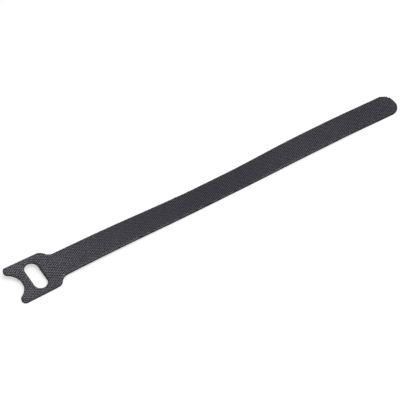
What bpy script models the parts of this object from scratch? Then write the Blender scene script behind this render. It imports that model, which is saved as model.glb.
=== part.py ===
"""Hook and loop cable tie, hook side up.

The tie is one strip of back-to-back tape: a brushed loop fabric below, a hook sheet bonded over it.
The hook sheet carries its hooks in close rows that run along the tape, each row as a ridge with sloping
sides. One die cuts the whole outline (notched head, slot, shoulders, strap, rounded tail) through
both layers, and the finished tie then lies in its own soft wave, with a slight twist at the head.

X runs along the tie from the prongs to the tail, Y across it, Z up. The origin is midway between the
prong tips and the tail, on the table.
"""

import math

import bmesh
import bpy
from mathutils import Vector

# Strap
TIE_LENGTH = 0.200
STRAP_WIDTH = 0.012
TAIL_CORNER_RADIUS = 0.0054

# Head, from the prong tips to the shoulders
STRAP_PLAY = 0.0009
SIDE_WEB = 0.0026
PRONG_RADIUS = 0.00185
NOTCH_DEPTH = 0.0046
FRONT_WEB = 0.0037
SLOT_WIDTH = 0.0062
BACK_WEB = 0.0057
SHOULDER_RADIUS = 0.0034
NECK_RADIUS = 0.0044

# Tape section
BACKING_THICKNESS = 0.0010
HOOK_HEIGHT = 0.0004
ROW_PITCH = 0.00048
ROW_FOOT = 0.00030
ROW_CROWN = 0.00018

# How the tie lies on the table
MIDDLE_START = 0.091
MIDDLE_LENGTH = 0.020
MIDDLE_TILT = math.radians(-2.0)
HEAD_TILT = math.radians(12.0)
HEAD_BOW = 0.0006
TAIL_TILT = math.radians(2.5)
TAIL_LIFT = 0.0011
TAIL_RISE = 0.040
TIP_RUN = 0.035

# Fineness of the model
ARC_STEP = math.radians(10.0)
BEND_STEP = 0.0070
DIE_MARGIN = 0.002
SMOOTH_ANGLE = math.radians(30.0)

# Sizes that follow
SLOT_LENGTH = STRAP_WIDTH + 2 * STRAP_PLAY
HEAD_WIDTH = SLOT_LENGTH + 2 * SIDE_WEB
SLOT_PLACE = NOTCH_DEPTH + FRONT_WEB + SLOT_WIDTH / 2
SHOULDER_PLACE = SLOT_PLACE + SLOT_WIDTH / 2 + BACK_WEB
THICKNESS = BACKING_THICKNESS + HOOK_HEIGHT
MIDDLE_END = MIDDLE_START + MIDDLE_LENGTH

NYLON_COLOUR = (0.050, 0.049, 0.057, 1.0)
NYLON_ROUGHNESS = 0.72


def clear_scene():
    for thing in list(bpy.data.objects):
        bpy.data.objects.remove(thing, do_unlink=True)


def nylon_material():
    material = bpy.data.materials.new("black_nylon")
    material.use_nodes = True
    shader = material.node_tree.nodes["Principled BSDF"]
    shader.inputs["Base Color"].default_value = NYLON_COLOUR
    shader.inputs["Roughness"].default_value = NYLON_ROUGHNESS
    shader.inputs["Metallic"].default_value = 0.0
    return material


def arc(centre, radius, start, end):
    """Points of a round stretch from one angle to another, both ends included."""
    steps = max(2, math.ceil(abs(end - start) / ARC_STEP))
    angles = [start + (end - start) * step / steps for step in range(steps + 1)]
    return [centre + Vector((math.cos(angle), math.sin(angle))) * radius for angle in angles]


def tail_corner():
    """The far corner of the tail, from its end to the strap's side."""
    radius = min(TAIL_CORNER_RADIUS, STRAP_WIDTH / 2)
    centre = Vector((TIE_LENGTH - radius, STRAP_WIDTH / 2 - radius))
    return arc(centre, radius, 0.0, math.pi / 2)


def shoulder():
    """The step from the strap to the head: a hollow arc and a round one, each tangent to its side."""
    step = (HEAD_WIDTH - STRAP_WIDTH) / 2
    full = NECK_RADIUS + SHOULDER_RADIUS
    turn = math.acos(max(0.0, 1.0 - step / full))
    straight = max(0.0, step - full)
    reach = full * math.sin(turn) / 2
    neck_centre = Vector((SHOULDER_PLACE + reach, STRAP_WIDTH / 2 + NECK_RADIUS))
    head_centre = Vector((SHOULDER_PLACE - reach, HEAD_WIDTH / 2 - SHOULDER_RADIUS))
    hollow = arc(neck_centre, NECK_RADIUS, -math.pi / 2, -math.pi / 2 - turn)
    round_end = arc(head_centre, SHOULDER_RADIUS, math.pi / 2 - turn, math.pi / 2)
    return hollow + (round_end if straight else round_end[1:])


def prong_and_notch():
    """Half of the fishtail: a round prong tip that runs smoothly into the notch between the prongs."""
    tip_centre = Vector((PRONG_RADIUS, HEAD_WIDTH / 2 - PRONG_RADIUS))
    spread = tip_centre.y
    notch_radius = (spread ** 2 / NOTCH_DEPTH + NOTCH_DEPTH) / 2 - PRONG_RADIUS
    notch_centre = Vector((NOTCH_DEPTH - notch_radius, 0.0))
    meeting = tip_centre - notch_centre
    lean = math.atan2(meeting.y, meeting.x)
    outside = arc(tip_centre, PRONG_RADIUS, math.pi / 2, math.pi)
    inside = arc(tip_centre, PRONG_RADIUS, math.pi, math.pi + lean)
    notch = arc(notch_centre, notch_radius, lean, 0.0)
    return outside + inside[1:] + notch[1:]


def die_outline():
    """The die's cutting line, once round the tie."""
    far_side = tail_corner() + shoulder() + prong_and_notch()
    near_side = [Vector((point.x, -point.y)) for point in reversed(far_side[:-1])]
    if near_side[-1] == far_side[0]:
        near_side.pop()
    return far_side + near_side


def slot_outline():
    """The slot lies across the head, with full round ends, and takes the strap with a little play."""
    radius = SLOT_WIDTH / 2
    offset = SLOT_LENGTH / 2 - radius
    far_end = arc(Vector((SLOT_PLACE, offset)), radius, 0.0, math.pi)
    near_end = arc(Vector((SLOT_PLACE, -offset)), radius, math.pi, 2 * math.pi)
    return far_end + near_end


def mesh_object(name, build):
    """A new object whose mesh is filled by build, with its faces pointing out."""
    mesh = bpy.data.meshes.new(name)
    form = bmesh.new()
    build(form)
    bmesh.ops.recalc_face_normals(form, faces=form.faces)
    form.to_mesh(mesh)
    form.free()
    thing = bpy.data.objects.new(name, mesh)
    bpy.context.scene.collection.objects.link(thing)
    return thing


def extrude_ring(form, ring, push):
    """A closed prism: a flat ring of points, filled and pushed along a vector."""
    face = form.faces.new([form.verts.new(point) for point in ring])
    pushed = bmesh.ops.extrude_face_region(form, geom=[face])["geom"]
    corners = [item for item in pushed if isinstance(item, bmesh.types.BMVert)]
    bmesh.ops.translate(form, verts=corners, vec=push)


def cutter(name, outline):
    """A cutting form that stands through the tape from below to above it."""
    height = THICKNESS + 2 * DIE_MARGIN
    ring = [(point.x, point.y, -DIE_MARGIN) for point in outline]
    thing = mesh_object(name, lambda form: extrude_ring(form, ring, Vector((0.0, 0.0, height))))
    thing.hide_render = True
    thing.display_type = "WIRE"
    return thing


def tape_section():
    """The tape cut across: flat loop side below, ridges of the hook rows above."""
    rows_each_side = math.ceil(HEAD_WIDTH / 2 / ROW_PITCH) + 1
    edge = (rows_each_side + 0.5) * ROW_PITCH
    section = [(-edge, 0.0), (edge, 0.0), (edge, BACKING_THICKNESS)]
    for row in range(rows_each_side, -rows_each_side - 1, -1):
        middle = row * ROW_PITCH
        section.append((middle + ROW_FOOT / 2, BACKING_THICKNESS))
        section.append((middle + ROW_CROWN / 2, THICKNESS))
        section.append((middle - ROW_CROWN / 2, THICKNESS))
        section.append((middle - ROW_FOOT / 2, BACKING_THICKNESS))
    section.append((-edge, BACKING_THICKNESS))
    return section


def even_places(start, end):
    """Bend lines from start up to end, end left out, no further apart than the bend step."""
    count = max(1, math.ceil((end - start) / BEND_STEP))
    return [start + (end - start) * index / count for index in range(count)]


def bend_lines():
    """Where the tape can bend: evenly along both ends, and nowhere on the straight middle."""
    past_tail = TIE_LENGTH + DIE_MARGIN
    to_middle = even_places(-DIE_MARGIN, MIDDLE_START)
    to_tail = even_places(MIDDLE_END, past_tail)
    return to_middle + [MIDDLE_START] + to_tail + [past_tail]


def build_tape(form):
    """A length of hook tape, from the roll, with a ring of points at each bend line."""
    section = tape_section()
    rings = [[form.verts.new((place, y, z)) for y, z in section] for place in bend_lines()]
    form.faces.new(rings[0])
    form.faces.new(reversed(rings[-1]))
    for ring, following in zip(rings, rings[1:]):
        for index in range(len(section)):
            after = (index + 1) % len(section)
            form.faces.new((ring[index], ring[after], following[after], following[index]))


def cut(thing, tool, operation):
    step = thing.modifiers.new(tool.name, "BOOLEAN")
    step.operation = operation
    step.solver = "EXACT"
    step.object = tool


def ease(share):
    """A soft start and a soft stop, from 0 to 1."""
    share = min(max(share, 0.0), 1.0)
    return share * share * (3.0 - 2.0 * share)


def touching(half_width, tilt):
    """How high the middle line is when the lower edge of a tilted stretch touches the table."""
    return half_width * abs(math.tan(tilt))


def blend(start, end, share):
    return start + (end - start) * share


def lie_at(place):
    """Height of the middle line and sideways tilt of the tie, at a distance from the prong tips.

    Three places touch the table: the near prong, the far edge of the straight middle and the near
    corner of the tail. The tie twists evenly from the middle to the prongs, and bows up a little on
    each side of the middle.
    """
    middle_height = touching(STRAP_WIDTH / 2, MIDDLE_TILT)
    if place < MIDDLE_START:
        share = (MIDDLE_START - place) / MIDDLE_START
        head_height = touching(HEAD_WIDTH / 2, HEAD_TILT)
        bow = HEAD_BOW * math.sin(math.pi * share) ** 2
        return blend(middle_height, head_height, share) + bow, blend(MIDDLE_TILT, HEAD_TILT, share)
    rise = ease((place - MIDDLE_END) / TAIL_RISE)
    fall = ease((place - TIE_LENGTH + TIP_RUN) / TIP_RUN)
    lifted = blend(middle_height, TAIL_LIFT, rise)
    tip_height = touching(STRAP_WIDTH / 2, TAIL_TILT)
    return blend(lifted, tip_height, fall), blend(MIDDLE_TILT, TAIL_TILT, rise)


def lay_on_table(form):
    """The flat tie takes the shape it lies in, and its middle goes to the origin."""
    for corner in form.verts:
        height, tilt = lie_at(corner.co.x)
        corner.co.z += height + corner.co.y * math.tan(tilt)
        corner.co.x -= TIE_LENGTH / 2


def applied_mesh(thing):
    """The object's mesh with its cuts made."""
    bpy.context.view_layer.update()
    finished = thing.evaluated_get(bpy.context.evaluated_depsgraph_get())
    return bpy.data.meshes.new_from_object(finished)


def tie_strap():
    """Tape, die and slot punch first, then the lie of the finished tie."""
    thing = mesh_object("tie_strap", build_tape)
    die = cutter("outline_die", die_outline())
    punch = cutter("slot_punch", slot_outline())
    cut(thing, die, "INTERSECT")
    cut(thing, punch, "DIFFERENCE")
    mesh = applied_mesh(thing)
    thing.modifiers.clear()
    form = bmesh.new()
    form.from_mesh(mesh)
    bmesh.ops.triangulate(form, faces=form.faces)
    lay_on_table(form)
    form.to_mesh(mesh)
    form.free()
    thing.data = mesh
    mesh.materials.clear()
    mesh.materials.append(nylon_material())
    mesh.shade_smooth()
    mesh.set_sharp_from_angle(angle=SMOOTH_ANGLE)
    for tool in (die, punch):
        bpy.data.objects.remove(tool, do_unlink=True)


clear_scene()
tie_strap()
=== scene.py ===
import math

import bpy
import numpy as np
from mathutils import Matrix, Vector
from mathutils.geometry import delaunay_2d_cdt
from mathutils.kdtree import KDTree


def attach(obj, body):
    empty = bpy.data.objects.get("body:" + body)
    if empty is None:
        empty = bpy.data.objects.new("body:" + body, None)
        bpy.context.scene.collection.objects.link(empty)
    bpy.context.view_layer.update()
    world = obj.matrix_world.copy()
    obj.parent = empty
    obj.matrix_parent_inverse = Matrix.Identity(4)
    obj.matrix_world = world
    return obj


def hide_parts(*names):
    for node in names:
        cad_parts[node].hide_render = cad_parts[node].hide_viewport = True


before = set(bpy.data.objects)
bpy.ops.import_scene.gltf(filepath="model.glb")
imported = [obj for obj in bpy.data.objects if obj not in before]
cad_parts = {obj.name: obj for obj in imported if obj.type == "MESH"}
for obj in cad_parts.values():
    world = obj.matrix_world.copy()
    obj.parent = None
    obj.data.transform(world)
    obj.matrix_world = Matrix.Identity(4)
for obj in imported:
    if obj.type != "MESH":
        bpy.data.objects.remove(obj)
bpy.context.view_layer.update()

# Loop fabric
# The tie's lower layer is a thin black nylon fabric, warp knitted, that carries the loop pile on its underside.
# It is bonded to the hook film. One die cuts the outline and the slot through both, and leaves the knit a little
# ragged at the cut. The finished tie then lies in a soft wave, with a slight twist towards its head.

# The line that the die cuts
TIE_LENGTH = 0.200
STRAP_WIDTH = 0.012
TAIL_CORNER_RADIUS = 0.0054
HEAD_WIDTH = 0.0190
PRONG_RADIUS = 0.00185
NOTCH_DEPTH = 0.0046
SLOT_PLACE = 0.0114
SLOT_WIDTH = 0.0062
SLOT_LENGTH = 0.0138
SHOULDER_PLACE = 0.0202
SHOULDER_RADIUS = 0.0034
NECK_RADIUS = 0.0044
ARC_STEP = math.radians(4.0)

# How the tie lies on the table
MIDDLE_START = 0.091
MIDDLE_END = 0.111
MIDDLE_TILT = math.radians(-2.0)
HEAD_TILT = math.radians(12.0)
HEAD_BOW = 0.0006
TAIL_TILT = math.radians(2.5)
TAIL_LIFT = 0.0011
TAIL_RISE = 0.040
TIP_RUN = 0.035

# The fabric's heights and insets from its underside up, its mesh, and what the die does at the cut
FABRIC_SECTION = ((0.00004, 0.00004), (0.00010, 0.0), (0.00040, 0.0), (0.00070, 0.0), (0.00082, 0.00003))
FABRIC_HOLLOW = 0.00018
FABRIC_FRAY = 0.00006
FABRIC_RIM_STEP = 0.00040
FABRIC_STEP = 0.00050
FABRIC_LUMP = 0.00005
CUT_STEP = 0.00010
CUT_REACH = 0.0007
CUT_LINES = (0.33, 0.66, 1.0)
CUT_LINE_FINENESS = 0.8
CUT_DROP = 0.00005
DROP_START = 0.0005
DROP_RUN = 0.0005
MERGE_DISTANCE = 1e-9
SMOOTH_ANGLE = math.radians(40.0)
draw = np.random.default_rng(12)


def arc(centre, radius, start, end):
    steps = max(2, math.ceil(abs(end - start) / ARC_STEP))
    angles = np.linspace(start, end, steps + 1)
    return np.array(centre) + radius * np.column_stack((np.cos(angles), np.sin(angles)))


def die_line():
    """The die's cutting line, from the tail along the far side to the notch, and back along the near side."""
    tail_centre = (TIE_LENGTH - TAIL_CORNER_RADIUS, STRAP_WIDTH / 2 - TAIL_CORNER_RADIUS)
    both = NECK_RADIUS + SHOULDER_RADIUS
    turn = math.acos(1.0 - (HEAD_WIDTH - STRAP_WIDTH) / 2 / both)
    reach = both * math.sin(turn) / 2
    neck_centre = (SHOULDER_PLACE + reach, STRAP_WIDTH / 2 + NECK_RADIUS)
    head_centre = (SHOULDER_PLACE - reach, HEAD_WIDTH / 2 - SHOULDER_RADIUS)
    tip_centre = (PRONG_RADIUS, HEAD_WIDTH / 2 - PRONG_RADIUS)
    notch_radius = (tip_centre[1] ** 2 / NOTCH_DEPTH + NOTCH_DEPTH) / 2 - PRONG_RADIUS
    notch_centre = (NOTCH_DEPTH - notch_radius, 0.0)
    lean = math.atan2(tip_centre[1], tip_centre[0] - notch_centre[0])
    far_side = np.vstack((
        arc(tail_centre, TAIL_CORNER_RADIUS, 0.0, math.pi / 2),
        arc(neck_centre, NECK_RADIUS, -math.pi / 2, -math.pi / 2 - turn),
        arc(head_centre, SHOULDER_RADIUS, math.pi / 2 - turn, math.pi / 2)[1:],
        arc(tip_centre, PRONG_RADIUS, math.pi / 2, math.pi + lean),
        arc(notch_centre, notch_radius, lean, 0.0)[1:],
    ))
    return np.vstack((far_side, far_side[-2::-1] * (1.0, -1.0)))


def punch_line():
    """The slot across the head, with full round ends."""
    radius = SLOT_WIDTH / 2
    offset = SLOT_LENGTH / 2 - radius
    far_end = arc((SLOT_PLACE, offset), radius, 0.0, math.pi)
    near_end = arc((SLOT_PLACE, -offset), radius, math.pi, 2 * math.pi)
    return np.vstack((far_end, near_end))


def evenly_spaced(line, spacing):
    """Points at even steps round a closed line."""
    closed = np.vstack((line, line[:1]))
    run = np.concatenate(([0.0], np.cumsum(np.linalg.norm(np.diff(closed, axis=0), axis=1))))
    count = round(run[-1] / spacing)
    places = np.arange(count) * run[-1] / count
    return np.column_stack([np.interp(places, run, closed[:, axis]) for axis in (0, 1)])


def outward(line):
    """The directions that lead out of a closed line, at each of its points."""
    along = np.roll(line, -1, axis=0) - np.roll(line, 1, axis=0)
    along /= np.linalg.norm(along, axis=1)[:, None]
    return np.column_stack((along[:, 1], -along[:, 0]))


def inside(points, line):
    """Which points lie inside a closed line."""
    x, y = points.T
    within = np.zeros(len(points), bool)
    for (x0, y0), (x1, y1) in zip(line, np.roll(line, -1, axis=0)):
        if y0 != y1:
            within ^= ((y0 > y) != (y1 > y)) & (x < (x1 - x0) * (y - y0) / (y1 - y0) + x0)
    return within


outline = die_line()
slot = punch_line()
cut_points = np.vstack((evenly_spaced(outline, CUT_STEP), evenly_spaced(slot, CUT_STEP)))
cut_tree = KDTree(len(cut_points))
for index, (x, y) in enumerate(cut_points):
    cut_tree.insert((x, y, 0.0), index)
cut_tree.balance()


def on_tape(points):
    """Which points lie within the outline and not in the slot."""
    return inside(points, outline) & ~inside(points, slot)


def cut_distance(points):
    """How far each point is from the nearest cut."""
    return np.array([cut_tree.find((x, y, 0.0))[2] for x, y in points])


def ease(share):
    """A share from 0 to 1, with a soft start and a soft end."""
    share = np.clip(share, 0.0, 1.0)
    return share * share * (3.0 - 2.0 * share)


def laid(points):
    """Flat tape takes the shape that the tie lies in, with its middle at the origin."""
    place = points[:, 0]
    middle_height = STRAP_WIDTH / 2 * math.tan(abs(MIDDLE_TILT))
    head_height = HEAD_WIDTH / 2 * math.tan(HEAD_TILT)
    tip_height = STRAP_WIDTH / 2 * math.tan(TAIL_TILT)
    share = (MIDDLE_START - place) / MIDDLE_START
    head_side = middle_height + (head_height - middle_height) * share + HEAD_BOW * np.sin(math.pi * share) ** 2
    rise = ease((place - MIDDLE_END) / TAIL_RISE)
    fall = ease((place - TIE_LENGTH + TIP_RUN) / TIP_RUN)
    lifted = middle_height + (TAIL_LIFT - middle_height) * rise
    tail_side = lifted + (tip_height - lifted) * fall
    height = np.where(place < MIDDLE_START, head_side, tail_side)
    head_tilt = MIDDLE_TILT + (HEAD_TILT - MIDDLE_TILT) * share
    tail_tilt = MIDDLE_TILT + (TAIL_TILT - MIDDLE_TILT) * rise
    slope = np.tan(np.where(place < MIDDLE_START, head_tilt, tail_tilt))
    return np.column_stack((place - TIE_LENGTH / 2, points[:, 1], points[:, 2] + height + points[:, 1] * slope))


def pressed_at_cut(points):
    """The die rolls the tape's upper face down a little along the cut."""
    near = np.clip(1.0 - cut_distance(points[:, :2]) / CUT_REACH, 0.0, 1.0)
    upper = np.clip((points[:, 2] - DROP_START) / DROP_RUN, 0.0, 1.0)
    return points - np.column_stack((0 * near, 0 * near, CUT_DROP * near ** 2 * upper))


def inner_points(step):
    """Points over the tape in staggered rows, and in a few lines that follow the cut."""
    rows = np.arange(-HEAD_WIDTH / 2, HEAD_WIDTH / 2, step)
    places = np.arange(0.0, TIE_LENGTH, step)
    grid = np.vstack([np.column_stack((places + step / 2 * (index % 2), np.full(len(places), row)))
                      for index, row in enumerate(rows)])
    grid = grid[on_tape(grid)]
    grid = grid[cut_distance(grid) > CUT_REACH + step / 2]
    spacing = step * CUT_LINE_FINENESS
    lines = [(evenly_spaced(outline, spacing), 1), (evenly_spaced(slot, spacing), -1)]
    follow = [line - side * outward(line) * CUT_REACH * share for line, side in lines for share in CUT_LINES]
    return np.vstack((grid, *follow))


def cap_faces(rims, inner):
    """Triangles that fill the space between the outer rim, the slot's rim and the inner points."""
    points = np.vstack((*rims, inner))
    edges, first = [], 0
    for rim in rims:
        edges += [(first + index, first + (index + 1) % len(rim)) for index in range(len(rim))]
        first += len(rim)
    corners = [Vector(point) for point in points]
    _, _, faces, sources, _, _ = delaunay_2d_cdt(corners, edges, [], 0, MERGE_DISTANCE)
    source = np.array([each[0] for each in sources])
    faces = source[np.array(faces)]
    middles = points[faces].mean(axis=1)
    return faces[inside(middles, rims[0]) & ~inside(middles, rims[1])]


def new_piece(name, corners, faces):
    """A smooth mesh in the scene, with sharp edges where its faces meet at more than the smooth angle."""
    mesh = bpy.data.meshes.new(name)
    mesh.from_pydata(corners.tolist(), [], [list(map(int, face)) for face in faces])
    mesh.update()
    mesh.shade_smooth()
    mesh.set_sharp_from_angle(angle=SMOOTH_ANGLE)
    piece = bpy.data.objects.new(name, mesh)
    bpy.context.scene.collection.objects.link(piece)
    return piece


def keep_values(piece, name, values):
    """Keeps a number for each corner of a piece, for its material to read."""
    kept = piece.data.attributes.new(name, "FLOAT", "POINT")
    kept.data.foreach_set("value", np.asarray(values, np.float32))


def die_cut_layer(name, section, fray, rim_step, step, hollow=0.0, lump=0.0):
    """One layer of the tape, cut by the die. Its section lists heights and how far each stays inside the cut.

    Away from the cut its underside is raised by the hollow, and uneven by the lump.
    """
    rims = [evenly_spaced(outline, rim_step), evenly_spaced(slot, rim_step)]
    ways = [outward(rims[0]), -outward(rims[1])]
    inner = inner_points(step)
    rings, flat = [], []
    for height, inset in section:
        level = []
        for rim, way in zip(rims, ways):
            cut = rim - way * (inset + fray * draw.random(len(rim)))[:, None]
            level.append(cut)
            flat.append(np.column_stack((cut, np.full(len(cut), height))))
        rings.append(level)
    level_size = sum(len(rim) for rim in rims)
    faces = []
    for level in range(len(section) - 1):
        first = level * level_size
        for rim, turned in zip(rims, (False, True)):
            for index in range(len(rim)):
                here, after = first + index, first + (index + 1) % len(rim)
                wall = (here, after, after + level_size, here + level_size)
                faces.append(wall[::-1] if turned else wall)
            first += len(rim)
    under_first = level_size * len(section)
    over_first = under_first + len(inner)
    sunk = lump * draw.random(len(inner))
    flat.append(np.column_stack((inner, section[0][0] + hollow - sunk)))
    flat.append(np.column_stack((inner, np.full(len(inner), section[-1][0]))))
    under = cap_faces(rings[0], inner)
    over = cap_faces(rings[-1], inner)
    under = np.where(under < level_size, under, under - level_size + under_first)
    over = np.where(over < level_size, over + under_first - level_size, over - level_size + over_first)
    faces += [face[::-1] for face in under.tolist()] + over.tolist()
    flat = np.vstack(flat)
    piece = new_piece(name, laid(pressed_at_cut(flat)), faces)
    keep_values(piece, "cut_edge", cut_distance(flat[:, :2]))
    return piece


def new_material(name):
    material = bpy.data.materials.new(name)
    material.use_nodes = True
    return material, material.node_tree, material.node_tree.nodes["Principled BSDF"]


def add(tree, kind, inputs=(), **settings):
    """A shader node with its settings and inputs, where an input is a number, a colour or another node's socket."""
    node = tree.nodes.new("ShaderNode" + kind)
    for setting, value in settings.items():
        setattr(node, setting, value)
    for socket, value in dict(inputs).items():
        if isinstance(value, bpy.types.NodeSocket):
            tree.links.new(value, node.inputs[socket])
        else:
            node.inputs[socket].default_value = value
    return node


def blend(tree, mask, first, second):
    """A mix of two colours. Each is red, green and blue, or another node's socket."""
    colours = {socket: colour if isinstance(colour, bpy.types.NodeSocket) else (*colour, 1.0)
               for socket, colour in (("A", first), ("B", second))}
    return add(tree, "Mix", {"Factor": mask, **colours}, data_type="RGBA").outputs["Result"]


def finish(tree, shader, colour, roughness, normal):
    """Joins what changes over the surface to the material's shader."""
    for name, socket in (("Base Color", colour), ("Roughness", roughness), ("Normal", normal)):
        tree.links.new(socket, shader.inputs[name])


def new_group(name, sockets):
    """A shader group with its inputs and outputs, each given as direction, name, kind and first value."""
    tree = bpy.data.node_groups.new(name, "ShaderNodeTree")
    for direction, socket, kind, value in sockets:
        made = tree.interface.new_socket(socket, in_out=direction, socket_type="NodeSocket" + kind)
        if value is not None:
            made.default_value = value
    return tree, tree.nodes.new("NodeGroupInput"), tree.nodes.new("NodeGroupOutput")


# Nylon isn't evenly dyed and gathers lint: slow changes of tone, and a few pale specks.
nylon_wear, given, put_out = new_group("nylon_wear", (
    ("INPUT", "Tone Scale", "Float", 120.0), ("INPUT", "Lint Amount", "Float", 0.3),
    ("OUTPUT", "Tone", "Float", None), ("OUTPUT", "Grain", "Float", None), ("OUTPUT", "Lint", "Float", None)))
place = add(nylon_wear, "TexCoord")
tone = add(nylon_wear, "TexNoise", {"Vector": place.outputs["Object"], "Scale": given.outputs["Tone Scale"],
                                    "Detail": 4.0, "Roughness": 0.6})
grain = add(nylon_wear, "TexNoise", {"Vector": place.outputs["Object"], "Scale": 3500.0, "Detail": 2.0})
specks = add(nylon_wear, "TexVoronoi", {"Vector": place.outputs["Object"], "Scale": 900.0, "Randomness": 1.0})
size = add(nylon_wear, "MapRange", {"Value": specks.outputs["Distance"], "From Min": 0.16, "From Max": 0.08})
few = add(nylon_wear, "TexNoise", {"Vector": place.outputs["Object"], "Scale": 260.0, "Detail": 1.0})
where = add(nylon_wear, "MapRange", {"Value": few.outputs["Fac"], "From Min": 0.62, "From Max": 0.74})
caught = add(nylon_wear, "Math", {0: size.outputs["Result"], 1: where.outputs["Result"]}, operation="MULTIPLY")
lint = add(nylon_wear, "Math", {0: caught.outputs[0], 1: given.outputs["Lint Amount"]}, operation="MULTIPLY")
nylon_wear.links.new(tone.outputs["Fac"], put_out.inputs["Tone"])
nylon_wear.links.new(grain.outputs["Fac"], put_out.inputs["Grain"])
nylon_wear.links.new(lint.outputs[0], put_out.inputs["Lint"])

# Painted shade along the cut: the colour darkens towards the die's line, and stands in for the shade on the tape's
# cut side walls.
painted_edge_shade, given, put_out = new_group("painted_edge_shade", (
    ("INPUT", "Width", "Float", 0.0006), ("OUTPUT", "Edge", "Float", None)))
distance = add(painted_edge_shade, "Attribute", attribute_name="cut_edge")
edge = add(painted_edge_shade, "MapRange", {"Value": distance.outputs["Fac"], "From Min": 0.0, "To Min": 1.0, "To Max": 0.0,
                                      "From Max": given.outputs["Width"]}, interpolation_type="SMOOTHSTEP")
painted_edge_shade.links.new(edge.outputs["Result"], put_out.inputs["Edge"])

loop_fabric = die_cut_layer("loop_fabric", FABRIC_SECTION, FABRIC_FRAY, FABRIC_RIM_STEP, FABRIC_STEP, FABRIC_HOLLOW,
                            FABRIC_LUMP)
material, tree, shader = new_material("brushed_loop_fabric")
wear = add(tree, "Group", node_tree=nylon_wear)
wear.inputs["Lint Amount"].default_value = 0.25
rim = add(tree, "Group", node_tree=painted_edge_shade)
rim.inputs["Width"].default_value = 0.0008
place = add(tree, "TexCoord")
courses = add(tree, "TexWave", {"Vector": place.outputs["Object"], "Scale": 900.0, "Distortion": 1.5, "Detail": 1.0,
                                "Detail Scale": 2.0}, bands_direction="X")
wales = add(tree, "TexWave", {"Vector": place.outputs["Object"], "Scale": 650.0, "Distortion": 1.0, "Detail": 1.0,
                              "Detail Scale": 2.0}, bands_direction="Y")
stitches = add(tree, "Math", {0: courses.outputs["Fac"], 1: wales.outputs["Fac"]}, operation="MULTIPLY")
nap = add(tree, "Math", {0: stitches.outputs[0], 1: wear.outputs["Grain"]}, operation="ADD")
dyed = blend(tree, wear.outputs["Tone"], (0.022, 0.022, 0.025), (0.050, 0.049, 0.056))
raised = blend(tree, stitches.outputs[0], dyed, (0.062, 0.061, 0.069))
# Painted shade: next to the cut the fabric goes almost black, for its side wall in shade.
edge_shaded = blend(tree, rim.outputs["Edge"], raised, (0.006, 0.006, 0.007))
dusty = blend(tree, wear.outputs["Lint"], edge_shaded, (0.30, 0.30, 0.30))
dull = add(tree, "MapRange", {"Value": wear.outputs["Grain"], "To Min": 0.70, "To Max": 0.92})
knit = add(tree, "Bump", {"Height": nap.outputs[0], "Strength": 0.6, "Distance": 0.0001})
finish(tree, shader, dusty, dull.outputs["Result"], knit.outputs["Normal"])
shader.inputs["Specular IOR Level"].default_value = 0.1
shader.inputs["Sheen Weight"].default_value = 0.04
shader.inputs["Sheen Roughness"].default_value = 0.5
loop_fabric.data.materials.append(material)
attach(loop_fabric, "root")
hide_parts("tie_strap")

# Loop pile
# The fabric's underside is brushed into a low nap of fine nylon loops, which the hooks catch when the tail is
# folded back on the strap. They are laid over at random, most of them along the tape.
PILE_PARTS = (("head", 0.0, 0.061), ("middle", 0.061, 0.131), ("tail", 0.131, TIE_LENGTH))
LOOPS_IN_PART = 8000
LOOPS_TRIED = 2 * LOOPS_IN_PART
LOOP_RINGS = 5
LOOP_SIDES = 3
LOOP_ROOT = 0.00024
LOOP_DROP = (0.00008, 0.00020)
LOOP_SPAN = (0.0006, 0.0013)
LOOP_SWAY = 0.00025
LOOP_FULLNESS = 0.7
LOOP_INSET = 0.00005
YARN_RADIUS = 0.000030
BRUSHED_SPREAD = math.radians(50.0)


def yarn_lines(start, end):
    """The middle lines of loops that stand between two places on the tape, and each loop's sideways direction.

    More loops are tried than are kept, because some of them cross the cut.
    """
    count = LOOPS_TRIED
    heading = draw.normal(0.0, BRUSHED_SPREAD, count)
    along = np.column_stack((np.cos(heading), np.sin(heading), np.zeros(count)))[:, None, :]
    side = np.column_stack((-np.sin(heading), np.cos(heading), np.zeros(count)))[:, None, :]
    share = np.linspace(0.0, 1.0, LOOP_RINGS)[None, :, None]
    bow = np.sin(math.pi * share)
    root = np.column_stack((draw.uniform(start, end, count), draw.uniform(-HEAD_WIDTH, HEAD_WIDTH, count) / 2,
                            np.full(count, LOOP_ROOT)))[:, None, :]
    span, drop, sway = (draw.uniform(*limits, count)[:, None, None]
                        for limits in (LOOP_SPAN, LOOP_DROP, (-LOOP_SWAY, LOOP_SWAY)))
    lines = root + along * span * (share - 0.5) + side * sway * bow - (0.0, 0.0, 1.0) * drop * bow ** LOOP_FULLNESS
    kept = on_tape(lines[:, :, :2].reshape(-1, 2)).reshape(count, LOOP_RINGS).all(axis=1)
    inset = cut_distance(lines[kept][:, :, :2].reshape(-1, 2)).reshape(-1, LOOP_RINGS)
    kept[kept] = (inset > LOOP_INSET).all(axis=1)
    return lines[kept][:LOOPS_IN_PART], side[kept][:LOOPS_IN_PART]


def make_loops(start, end):
    """Round yarn along each loop's middle line, with one tone for each loop."""
    lines, side = yarn_lines(start, end)
    direction = np.gradient(lines, axis=1)
    over = np.cross(side, direction / np.linalg.norm(direction, axis=2, keepdims=True))
    angle = (2 * math.pi / LOOP_SIDES * np.arange(LOOP_SIDES))[None, None, :, None]
    round_yarn = side[:, :, None, :] * np.cos(angle) + over[:, :, None, :] * np.sin(angle)
    corners = lines[:, :, None, :] + YARN_RADIUS * round_yarn
    corner = np.arange(LOOP_SIDES)
    after = (corner + 1) % LOOP_SIDES
    wall = np.stack((corner, after, after + LOOP_SIDES, corner + LOOP_SIDES), axis=1)
    one = (wall[None] + LOOP_SIDES * np.arange(LOOP_RINGS - 1)[:, None, None]).reshape(-1, 4)
    size = LOOP_RINGS * LOOP_SIDES
    faces = (one[None] + size * np.arange(len(lines))[:, None, None]).reshape(-1, 4)
    return corners.reshape(-1, 3), faces, np.repeat(draw.random(len(lines)), size)


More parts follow.
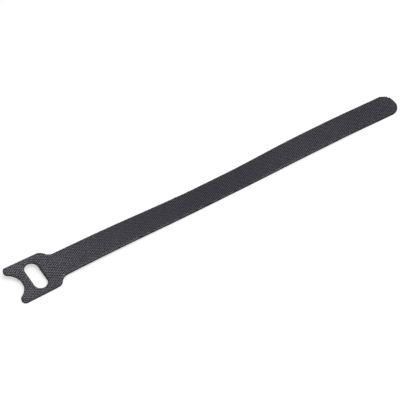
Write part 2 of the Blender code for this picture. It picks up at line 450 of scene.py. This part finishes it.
material, tree, shader = new_material("nylon_loop_pile")
wear = add(tree, "Group", node_tree=nylon_wear)
wear.inputs["Lint Amount"].default_value = 0.4
yarn = add(tree, "Attribute", attribute_name="tone")
mixed = add(tree, "Math", {0: yarn.outputs["Fac"], 1: wear.outputs["Tone"]}, operation="MULTIPLY")
dyed = blend(tree, mixed.outputs[0], (0.030, 0.029, 0.036), (0.110, 0.107, 0.126))
dusty = blend(tree, wear.outputs["Lint"], dyed, (0.35, 0.35, 0.35))
dull = add(tree, "MapRange", {"Value": yarn.outputs["Fac"], "To Min": 0.50, "To Max": 0.80})
twist = add(tree, "Bump", {"Height": wear.outputs["Grain"], "Strength": 0.3, "Distance": 0.00002})
finish(tree, shader, dusty, dull.outputs["Result"], twist.outputs["Normal"])
shader.inputs["Sheen Weight"].default_value = 0.3
shader.inputs["Sheen Roughness"].default_value = 0.4

for part, start, end in PILE_PARTS:
    loop_corners, loop_faces, loop_tones = make_loops(start, end)
    loops = new_piece("loop_pile_" + part, laid(loop_corners), loop_faces)
    keep_values(loops, "tone", loop_tones)
    loops.data.materials.append(material)
    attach(loops, "root")
    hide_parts("tie_strap")

# Hook film
# The upper layer's base is a thin film of black nylon, moulded in one with its hooks on a roll of stacked discs.
# The seams between the discs leave fine ribs along it, under the rows of hooks.
FILM_SECTION = ((0.00079, 0.00006), (0.00080, 0.00001), (0.00096, 0.0), (0.00100, 0.00004))
FILM_FRAY = 0.00002
FILM_RIM_STEP = 0.00050
FILM_STEP = 0.0010
ROW_PITCH = 0.00048
WAVE_TO_PITCH = math.pi / 10  # a wave texture of scale 1 repeats at this distance

hook_film = die_cut_layer("hook_film", FILM_SECTION, FILM_FRAY, FILM_RIM_STEP, FILM_STEP)
material, tree, shader = new_material("moulded_hook_film")
wear = add(tree, "Group", node_tree=nylon_wear)
wear.inputs["Lint Amount"].default_value = 0.3
rim = add(tree, "Group", node_tree=painted_edge_shade)
rim.inputs["Width"].default_value = 0.00035
place = add(tree, "TexCoord")
ribs = add(tree, "TexWave", {"Vector": place.outputs["Object"], "Scale": WAVE_TO_PITCH / ROW_PITCH, "Distortion": 0.2,
                             "Detail": 1.0}, bands_direction="Y")
# Painted shade: the film is painted darker than the hooks it is moulded in one with, for the shade between their
# rows; its tone also varies a little at random.
dyed = blend(tree, wear.outputs["Tone"], (0.010, 0.009, 0.013), (0.020, 0.019, 0.026))
# Painted shade: next to the cut the film goes almost black, for its side wall in shade.
edge_shaded = blend(tree, rim.outputs["Edge"], dyed, (0.006, 0.006, 0.007))
dusty = blend(tree, wear.outputs["Lint"], edge_shaded, (0.30, 0.30, 0.30))
dull = add(tree, "MapRange", {"Value": wear.outputs["Grain"], "To Min": 0.22, "To Max": 0.30})
relief = add(tree, "Bump", {"Height": ribs.outputs["Fac"], "Strength": 0.5, "Distance": 0.00006})
fine = add(tree, "Bump", {"Height": wear.outputs["Grain"], "Strength": 0.3, "Distance": 0.00003,
                          "Normal": relief.outputs["Normal"]})
finish(tree, shader, dusty, dull.outputs["Result"], fine.outputs["Normal"])
hook_film.data.materials.append(material)
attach(hook_film, "root")
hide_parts("tie_strap")

# Hooks
# Each hook is a small flat stem with an arm curled down on both sides, moulded standing on the film. They stand
# in close rows along the tape, each row half a step on from its neighbour, and the die trims those that it crosses.
HOOK_PITCH = 0.00171
HOOK_ROWS = 40
HOOK_THICKNESS = 0.00032
HOOK_FOOT = 0.00098
HOOK_TOP = 0.00140
HOOK_SHARE = (0.93, 0.99)
# A hook seen from its side, in millimetres: from the foot round one arm, over the crown and down the other
HOOK_PROFILE = ((-0.18, -0.02), (-0.13, 0.14), (-0.26, 0.20), (-0.38, 0.12), (-0.48, 0.16), (-0.48, 0.31),
                (-0.40, 0.40), (-0.20, 0.42), (-0.06, 0.40), (0.06, 0.40), (0.20, 0.42), (0.40, 0.40), (0.48, 0.31),
                (0.48, 0.16), (0.38, 0.12), (0.26, 0.20), (0.13, 0.14), (0.18, -0.02))
PROFILE_UNIT = 0.001

# How the hooks differ, where they stop at the cut, and how the die crushes those beside it
HOOK_TURN = math.radians(5.0)
HOOK_TURN_SPREAD = math.radians(3.0)
HOOK_LEAN = math.radians(3.5)
BENT_SHARE = 0.04
BENT_LEAN = math.radians(22.0)
HOOK_INSET = 0.00025
CRUSH_REACH = 0.0007
CRUSH_SHARE = 0.15


def kept_on_tape(points):
    """Points past the cut are brought back to it, as the die trims what crosses its line."""
    for index in np.flatnonzero(~on_tape(points[:, :2])):
        points[index, :2] = cut_tree.find((points[index, 0], points[index, 1], 0.0))[0][:2]
    return points


def hook_places():
    """Where the hooks stand: in rows that are half a pitch apart by turns, and clear of the cut."""
    places = []
    for row in range(-HOOK_ROWS // 2, HOOK_ROWS // 2):
        along = np.arange(0.0, TIE_LENGTH, HOOK_PITCH) + (HOOK_PITCH / 2 if row % 2 else 0.0)
        places.append(np.column_stack((along, np.full(len(along), (row + 0.5) * ROW_PITCH))))
    places = np.vstack(places)
    places = places[on_tape(places)]
    return places[cut_distance(places) > HOOK_INSET]


def profile_cap(count):
    """Triangles across a side of the hook, from its middle out to the arms."""
    return [(index, index + 1, count - 2 - index) for index in range(count // 2 - 1)] + [
        (index, count - 2 - index, count - 1 - index) for index in range(count // 2 - 1)]


def make_hooks():
    """Corners and faces of all the hooks, each with its own lean, turn and height, and one tone for each hook."""
    places = hook_places()
    count = len(places)
    profile = np.array(HOOK_PROFILE) * PROFILE_UNIT
    size = len(profile)
    one = np.vstack([np.column_stack((profile[:, 0], np.full(size, side * HOOK_THICKNESS / 2), profile[:, 1]))
                     for side in (-1, 1)])
    bent = draw.random(count) < BENT_SHARE
    lean_limit = np.where(bent, BENT_LEAN, HOOK_LEAN)
    lean_side = draw.uniform(-1, 1, count) * lean_limit
    lean_along = draw.uniform(-1, 1, count) * lean_limit
    turn = HOOK_TURN + draw.uniform(-1, 1, count) * HOOK_TURN_SPREAD
    crushed = CRUSH_SHARE * np.clip(1.0 - cut_distance(places) / CRUSH_REACH, 0.0, 1.0)
    tall = draw.uniform(*HOOK_SHARE, count) * (1.0 - crushed)
    x = one[None, :, 0] + one[None, :, 2] * np.tan(lean_along)[:, None]
    y = one[None, :, 1] + one[None, :, 2] * np.tan(lean_side)[:, None]
    turned_x = x * np.cos(turn)[:, None] - y * np.sin(turn)[:, None] + places[:, :1]
    turned_y = x * np.sin(turn)[:, None] + y * np.cos(turn)[:, None] + places[:, 1:]
    z = HOOK_FOOT + one[None, :, 2] * tall[:, None] + np.zeros_like(x)
    corners = np.stack((turned_x, turned_y, z), axis=2).reshape(-1, 3)
    walls = [(index, index + size, index + 1 + size, index + 1) for index in range(size - 1)]
    cap = profile_cap(size)
    one_faces = walls + [face[::-1] for face in cap] + [tuple(corner + size for corner in face) for face in cap]
    faces = [tuple(corner + hook * 2 * size for corner in face) for hook in range(count) for face in one_faces]
    return corners, faces, np.repeat(draw.random(count), 2 * size)


hook_corners, hook_faces, hook_tones = make_hooks()
hook_heights = (hook_corners[:, 2] - HOOK_FOOT) / (HOOK_TOP - HOOK_FOOT)
hook_cut = cut_distance(hook_corners[:, :2])
hooks = new_piece("hooks", laid(pressed_at_cut(kept_on_tape(hook_corners))), hook_faces)
keep_values(hooks, "crown", hook_heights)
keep_values(hooks, "tone", hook_tones)
keep_values(hooks, "cut_edge", hook_cut)
material, tree, shader = new_material("moulded_nylon_hooks")
wear = add(tree, "Group", node_tree=nylon_wear)
wear.inputs["Lint Amount"].default_value = 0.5
rim = add(tree, "Group", node_tree=painted_edge_shade)
rim.inputs["Width"].default_value = 0.0003
# Painted highlight and shade: each hook is painted much lighter towards its crown than at its foot, as if lit from
# above, and by a different amount for each hook.
crown = add(tree, "Attribute", attribute_name="crown")
hook_top_share = add(tree, "MapRange", {"Value": crown.outputs["Fac"], "From Min": 0.55, "From Max": 1.0},
           interpolation_type="SMOOTHSTEP")
own = add(tree, "Attribute", attribute_name="tone")
varied = add(tree, "MapRange", {"Value": own.outputs["Fac"], "To Min": 0.78, "To Max": 1.0})
crown_highlight = add(tree, "Math", {0: hook_top_share.outputs["Result"], 1: varied.outputs["Result"]}, operation="MULTIPLY")
dyed = blend(tree, wear.outputs["Tone"], (0.020, 0.019, 0.025), (0.032, 0.030, 0.040))
highlighted = blend(tree, crown_highlight.outputs[0], dyed, (0.095, 0.090, 0.121))
# Painted shade: hooks beside the cut are painted darker.
edge_shaded = blend(tree, rim.outputs["Edge"], highlighted, (0.026, 0.025, 0.033))
dusty = blend(tree, wear.outputs["Lint"], edge_shaded, (0.35, 0.35, 0.35))
polished = add(tree, "MapRange", {"Value": crown_highlight.outputs[0], "To Min": 0.34, "To Max": 0.28})
moulded = add(tree, "Bump", {"Height": wear.outputs["Grain"], "Strength": 0.25, "Distance": 0.00002})
finish(tree, shader, dusty, polished.outputs["Result"], moulded.outputs["Normal"])
shader.inputs["Specular IOR Level"].default_value = 0.6
hooks.data.materials.append(material)
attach(hooks, "root")
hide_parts("tie_strap")

# Table
# A wide matt white table top, on which the tie lies, in a white room. Both are white wherever they are seen, and
# the room's walls give the tie no more light than its ceiling does.
TABLE_REACH = 4.0
TABLE_GLOW = 0.32
WALL_DISTANCE = 3.9
WALL_HEIGHT = 2.0
WALL_SIDES = 64
WALL_GLOW = 0.80
WHITE = (0.80, 0.80, 0.80, 1.0)
ROOM_LIGHT = 0.30

table_corners = np.array([(x * TABLE_REACH, y * TABLE_REACH, 0.0) for x, y in ((-1, -1), (1, -1), (1, 1), (-1, 1))])
table = new_piece("table", table_corners, [(0, 1, 2, 3)])
turn = 2 * math.pi / WALL_SIDES * np.arange(WALL_SIDES)
wall_line = WALL_DISTANCE * np.column_stack((np.cos(turn), np.sin(turn)))
wall_corners = np.vstack([np.column_stack((wall_line, np.full(WALL_SIDES, height))) for height in (0.0, WALL_HEIGHT)])
wall_faces = [(index, index + WALL_SIDES, (index + 1) % WALL_SIDES + WALL_SIDES, (index + 1) % WALL_SIDES)
              for index in range(WALL_SIDES)]
wall = new_piece("wall", wall_corners, wall_faces)

for piece, name, glow_level in ((table, "white_table", TABLE_GLOW), (wall, "white_wall", WALL_GLOW)):
    material, tree, shader = new_material(name)
    ray = add(tree, "LightPath")
    seen = add(tree, "Math", {0: ray.outputs["Is Camera Ray"], 1: ray.outputs["Is Glossy Ray"]}, operation="MAXIMUM")
    seen_through = add(tree, "Math", {0: seen.outputs[0], 1: ray.outputs["Is Transmission Ray"]}, operation="MAXIMUM")
    glow = add(tree, "Math", {0: seen_through.outputs[0], 1: glow_level}, operation="MULTIPLY")
    shader.inputs["Base Color"].default_value = WHITE
    shader.inputs["Roughness"].default_value = 0.9
    shader.inputs["Specular IOR Level"].default_value = 0.0
    shader.inputs["Emission Color"].default_value = (1.0, 1.0, 1.0, 1.0)
    tree.links.new(glow.outputs[0], shader.inputs["Emission Strength"])
    piece.data.materials.append(material)

room = bpy.data.worlds.new("pale_room")
bpy.context.scene.world = room
room.use_nodes = True
room.node_tree.nodes["Background"].inputs["Color"].default_value = (1.0, 1.0, 1.0, 1.0)
room.node_tree.nodes["Background"].inputs["Strength"].default_value = ROOM_LIGHT

# Lamps
# A soft lamp hangs over the table, a little to the front, and gives the tie its shadow. A small one behind the tie
# only puts the gloss on its head.
LAMP_DISTANCE = 0.90
SOFT_LAMP = ("soft_lamp", 0.60, 4.6, (-0.10, -0.42, 0.90), True)
GLOSS_LAMP = ("gloss_lamp", 0.33, 1.95, (0.345, 0.20, 0.915), False)


def facing(place, target):
    """The turn of a lamp that stands at a place and shines on a target."""
    return (target - place).to_track_quat("-Z", "Y").to_euler()


for name, size, power, way, gives_shadow in (SOFT_LAMP, GLOSS_LAMP):
    lamp_data = bpy.data.lights.new(name, "AREA")
    lamp_data.shape = "SQUARE"
    lamp_data.size = size
    lamp_data.energy = power
    lamp_data.use_shadow = gives_shadow
    lamp = bpy.data.objects.new(name, lamp_data)
    bpy.context.scene.collection.objects.link(lamp)
    lamp.location = Vector(way).normalized() * LAMP_DISTANCE
    lamp.rotation_euler = facing(lamp.location, Vector((0.0, 0.0, 0.0)))
    lamp.visible_camera = False

# Camera
# The tie is seen from its near left side, from about as far above it as in front of it. The lens is a long one,
# so the strap hardly narrows towards its tail.
VIEW_TURN = math.radians(-30.821)
VIEW_HEIGHT = math.radians(45.791)
VIEW_ROLL = math.radians(-3.140)
VIEW_DISTANCE = 0.876
VIEW_AIM = Vector((-0.006298, -0.000552, 0.0))
VIEW_LENS = 180.0
SENSOR_WIDTH = 36.0

back = Vector((math.sin(VIEW_TURN) * math.cos(VIEW_HEIGHT), -math.cos(VIEW_TURN) * math.cos(VIEW_HEIGHT),
               math.sin(VIEW_HEIGHT)))
level_right = Vector((math.cos(VIEW_TURN), math.sin(VIEW_TURN), 0.0))
level_up = back.cross(level_right)
right = level_right * math.cos(VIEW_ROLL) + level_up * math.sin(VIEW_ROLL)
up = level_up * math.cos(VIEW_ROLL) - level_right * math.sin(VIEW_ROLL)
camera_data = bpy.data.cameras.new("camera")
camera_data.lens = VIEW_LENS
camera_data.sensor_width = SENSOR_WIDTH
camera = bpy.data.objects.new("camera", camera_data)
bpy.context.scene.collection.objects.link(camera)
stand = Matrix((right, up, back)).transposed().to_4x4()
stand.translation = VIEW_AIM + back * VIEW_DISTANCE
camera.matrix_world = stand
bpy.context.scene.camera = camera
bpy.context.scene.view_settings.view_transform = "Standard"

bpy.context.view_layer.update()
